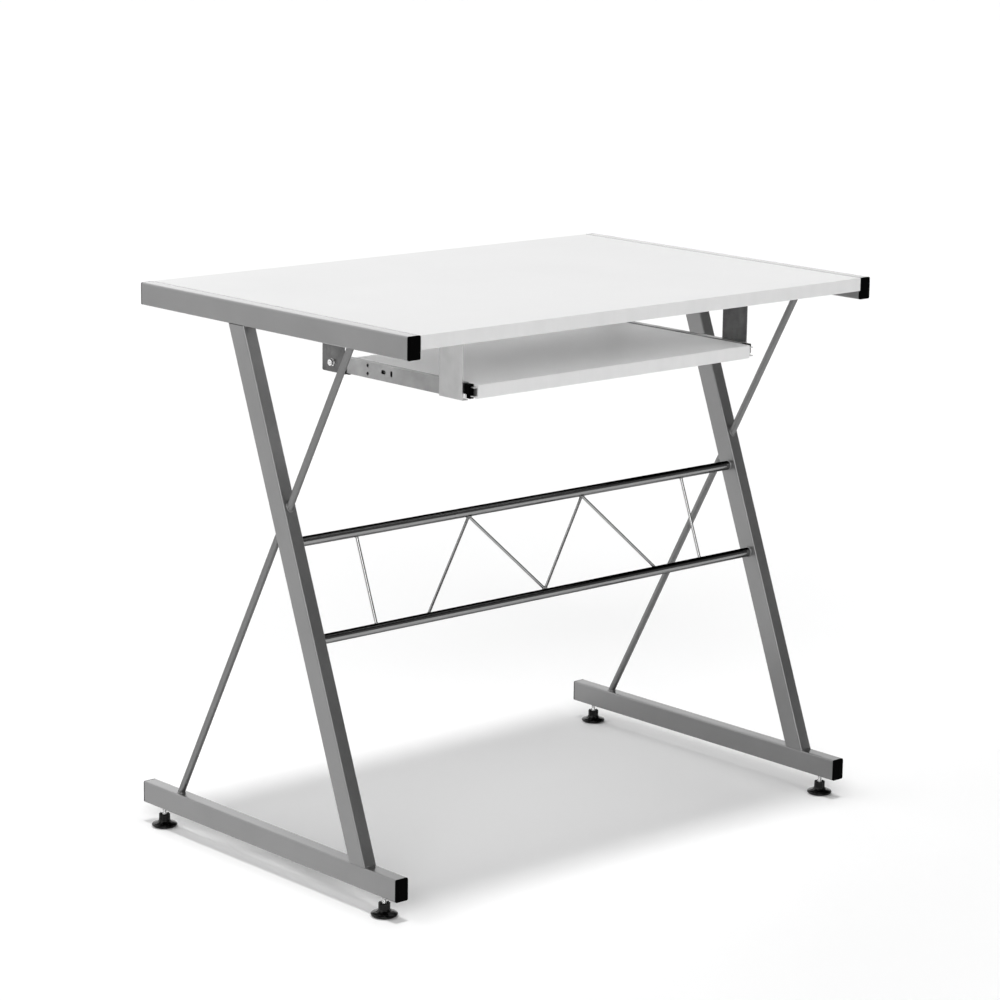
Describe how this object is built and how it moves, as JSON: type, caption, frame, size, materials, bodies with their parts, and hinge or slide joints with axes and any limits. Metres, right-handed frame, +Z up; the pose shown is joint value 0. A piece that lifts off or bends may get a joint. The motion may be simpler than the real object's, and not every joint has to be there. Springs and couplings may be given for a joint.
{
  "type": "computer desk with keyboard tray",
  "caption": "Small white desk on raked silver side frames, with a braced cross panel and a keyboard tray that slides out under the top.",
  "frame": {"origin": "on the floor, under the middle of the whole desk", "axes": "+X to the right as seen by the person sitting at it, +Y to the rear, +Z up"},
  "size_m": [0.845, 0.555, 0.75],
  "materials": {
    "white_laminate": "satin melamine on particle board",
    "white_edging": "satin",
    "silver_paint": "satin silver",
    "plated_bar": "polished, dark plated",
    "plated_wire": "drawn, nickel plated",
    "zinc_sheet": "zinc plated",
    "cage_steel": "bare, with steel balls",
    "zinc_fastener": "zinc plated",
    "white_plastic": "moulded",
    "black_plastic": "moulded"
  },
  "bodies": {
    "frame": {"desktop_board": "white_laminate", "desktop_front_edge_band": "white_edging", "desktop_rear_edge_band": "white_edging", "left_top_rail": "silver_paint", "right_top_rail": "silver_paint", "left_floor_rail": "silver_paint", "right_floor_rail": "silver_paint", "left_leg": "silver_paint", "right_leg": "silver_paint", "left_upper_brace": "silver_paint", "left_lower_brace": "silver_paint", "right_upper_brace": "silver_paint", "right_lower_brace": "silver_paint", "left_top_front_cap": "black_plastic", "left_top_rear_cap": "black_plastic", "right_top_front_cap": "black_plastic", "right_top_rear_cap": "black_plastic", "left_floor_front_cap": "black_plastic", "left_floor_rear_cap": "black_plastic", "right_floor_front_cap": "black_plastic", "right_floor_rear_cap": "black_plastic", "upper_cross_bar": "plated_bar", "lower_cross_bar": "plated_bar", "left_strut": "plated_wire", "right_strut": "plated_wire", "zigzag_wire": "plated_wire", "desktop_tabs": "silver_paint", "desktop_screws": "zinc_fastener", "left_front_bracket": "zinc_sheet", "left_rear_bracket": "zinc_sheet", "right_front_bracket": "zinc_sheet", "right_rear_bracket": "zinc_sheet", "bracket_screws": "zinc_fastener", "slide_bolts": "zinc_fastener", "left_slide_outer": "zinc_sheet", "right_slide_outer": "zinc_sheet", "left_slide_bumper": "white_plastic", "right_slide_bumper": "white_plastic", "left_slide_clip": "black_plastic", "right_slide_clip": "black_plastic", "foot_nuts": "zinc_fastener"},
    "tray": {"left_slide_inner": "zinc_sheet", "right_slide_inner": "zinc_sheet", "left_slide_stop": "black_plastic", "right_slide_stop": "black_plastic", "tray_board": "white_laminate", "tray_front_edge_band": "white_edging", "tray_rear_edge_band": "white_edging", "tray_screws": "zinc_fastener"},
    "left_cage": {"left_ball_cage": "cage_steel"},
    "right_cage": {"right_ball_cage": "cage_steel"},
    "left_front_foot": {"left_front_foot_pad": "black_plastic", "left_front_foot_stud": "zinc_fastener"},
    "left_rear_foot": {"left_rear_foot_pad": "black_plastic", "left_rear_foot_stud": "zinc_fastener"},
    "right_front_foot": {"right_front_foot_pad": "black_plastic", "right_front_foot_stud": "zinc_fastener"},
    "right_rear_foot": {"right_rear_foot_pad": "black_plastic", "right_rear_foot_stud": "zinc_fastener"}
  },
  "joints": [
    {"name": "tray_slide", "type": "slide", "parent": "frame", "child": "tray", "axis": [0, -1, 0], "range_m": [0, 0.22]},
    {"name": "left_cage_slide", "type": "slide", "parent": "frame", "child": "left_cage", "axis": [0, -1, 0], "range_m": [0, 0.11]},
    {"name": "right_cage_slide", "type": "slide", "parent": "frame", "child": "right_cage", "axis": [0, -1, 0], "range_m": [0, 0.11]},
    {"name": "left_front_foot_level", "type": "slide", "parent": "frame", "child": "left_front_foot", "axis": [0, 0, 1], "range_m": [-0.012, 0.006]},
    {"name": "left_rear_foot_level", "type": "slide", "parent": "frame", "child": "left_rear_foot", "axis": [0, 0, 1], "range_m": [-0.012, 0.006]},
    {"name": "right_front_foot_level", "type": "slide", "parent": "frame", "child": "right_front_foot", "axis": [0, 0, 1], "range_m": [-0.012, 0.006]},
    {"name": "right_rear_foot_level", "type": "slide", "parent": "frame", "child": "right_rear_foot", "axis": [0, 0, 1], "range_m": [-0.012, 0.006]}
  ],
  "couplings": [
    {"joint": "left_cage_slide", "follows": "tray_slide", "ratio": 0.5},
    {"joint": "right_cage_slide", "follows": "tray_slide", "ratio": 0.5}
  ]
}
